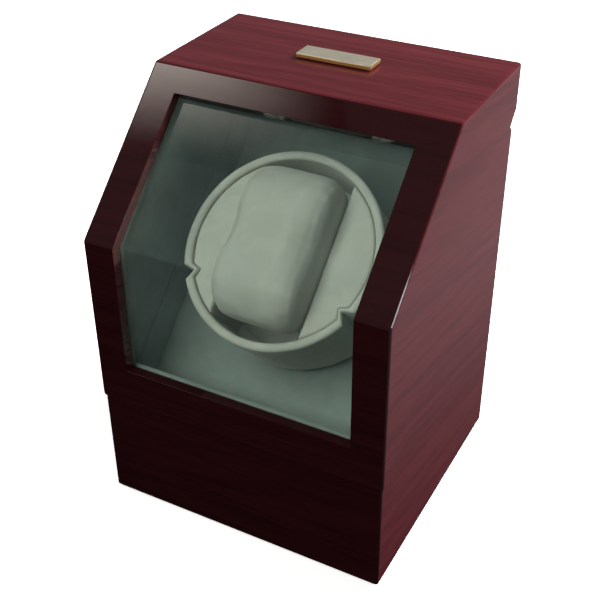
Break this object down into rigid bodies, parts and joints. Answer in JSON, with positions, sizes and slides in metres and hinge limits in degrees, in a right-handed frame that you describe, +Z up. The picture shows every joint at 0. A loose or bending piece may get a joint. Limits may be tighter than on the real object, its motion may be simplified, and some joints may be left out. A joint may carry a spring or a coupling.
{
  "type": "watch winder box",
  "caption": "Lacquered wooden watch winder box: hinged glazed lid with a sloping front, and a tilted motor-driven drum that holds a soft watch pillow.",
  "frame": {"origin": "centre of the overall footprint, on the surface that the feet stand on", "axes": "+X to the object's right seen from the front, -Y out of the window side, +Z up"},
  "size_m": [0.145, 0.135, 0.2053],
  "materials": {
    "cherry_lacquer": "high-gloss reddish cherry lacquer over veneer",
    "bare_board": "plain unfinished board",
    "window_glazing": "polished, slightly green-tinted",
    "suede_lining": "grey-green short-pile suede",
    "cream_velvet": "cream short-pile velvet",
    "brass": "brushed face, polished edges",
    "steel": "zinc plated",
    "black_plastic": "fine moulded grain",
    "white_plastic": "natural moulded acetal",
    "rubber": "matt",
    "felt": "dense felt",
    "circuit_board": "solder mask"
  },
  "bodies": {
    "base": {"base_case": "cherry_lacquer", "bottom_panel": "bare_board", "partition_cleat_left": "bare_board", "partition_cleat_right": "bare_board", "base_left_lining": "suede_lining", "base_right_lining": "suede_lining", "base_front_lining": "suede_lining", "base_back_lining": "suede_lining", "partition_panel": "suede_lining", "hinge_base_leaf_left": "brass", "hinge_base_leaf_right": "brass", "standoff_1": "brass", "standoff_2": "brass", "standoff_3": "brass", "standoff_4": "brass", "bottom_screw_1": "steel", "bottom_screw_2": "steel", "bottom_screw_3": "steel", "bottom_screw_4": "steel", "base_magnet": "steel", "hinge_pin_left": "steel", "hinge_pin_right": "steel", "motor_bracket": "steel", "gearbox": "steel", "motor_can": "steel", "control_plate": "black_plastic", "mode_selector": "black_plastic", "power_switch_body": "black_plastic", "dc_jack": "black_plastic", "shaft_bushing": "white_plastic", "drive_belt": "rubber", "motor_lead": "rubber", "foot_1": "felt", "foot_2": "felt", "foot_3": "felt", "foot_4": "felt", "control_board": "circuit_board"},
    "lid": {"lid_case": "cherry_lacquer", "window_pane": "window_glazing", "window_liner": "suede_lining", "lid_left_lining": "suede_lining", "lid_right_lining": "suede_lining", "lid_top_lining": "suede_lining", "lid_back_lining": "suede_lining", "name_plate": "brass", "lid_magnet": "steel", "hinge_lid_leaf_left": "brass", "hinge_lid_leaf_right": "brass"},
    "drum": {"drum_cup": "cream_velvet", "drum_insert_left": "cream_velvet", "drum_insert_right": "cream_velvet", "drum_nut": "steel", "drum_shaft": "steel", "drum_pulley": "white_plastic"},
    "pillow": {"pillow_cushion": "cream_velvet", "pillow_cradle": "white_plastic"},
    "motor_output": {"motor_shaft": "steel", "motor_pulley": "white_plastic"},
    "selector": {"mode_knob": "black_plastic"},
    "rocker": {"power_rocker": "black_plastic"}
  },
  "joints": [
    {"name": "lid_hinge", "type": "hinge", "parent": "base", "child": "lid", "pos_m": [0, 0.0656, 0.1756], "axis": [-1, 0, 0], "range_deg": [0, 95]},
    {"name": "drum_spin", "type": "hinge", "parent": "base", "child": "drum", "pos_m": [0, -0.02259, 0.13554], "axis": [0, -0.6743, 0.7385], "continuous": true},
    {"name": "pillow_slide", "type": "slide", "parent": "drum", "child": "pillow", "axis": [0, -0.6743, 0.7385], "range_m": [0, 0.006]},
    {"name": "motor_spin", "type": "hinge", "parent": "base", "child": "motor_output", "pos_m": [0, -0.00556, 0.06646], "axis": [0, -0.6743, 0.7385], "continuous": true},
    {"name": "mode_knob_turn", "type": "hinge", "parent": "base", "child": "selector", "pos_m": [0.022, 0.0582, 0.0402], "axis": [0, 1, 0], "range_deg": [0, 270]},
    {"name": "power_rocker_tilt", "type": "hinge", "parent": "base", "child": "rocker", "pos_m": [0.036, 0.058, 0.0402], "axis": [1, 0, 0], "range_deg": [0, 16]}
  ],
  "couplings": [
    {"joint": "motor_spin", "follows": "drum_spin", "ratio": 3}
  ]
}
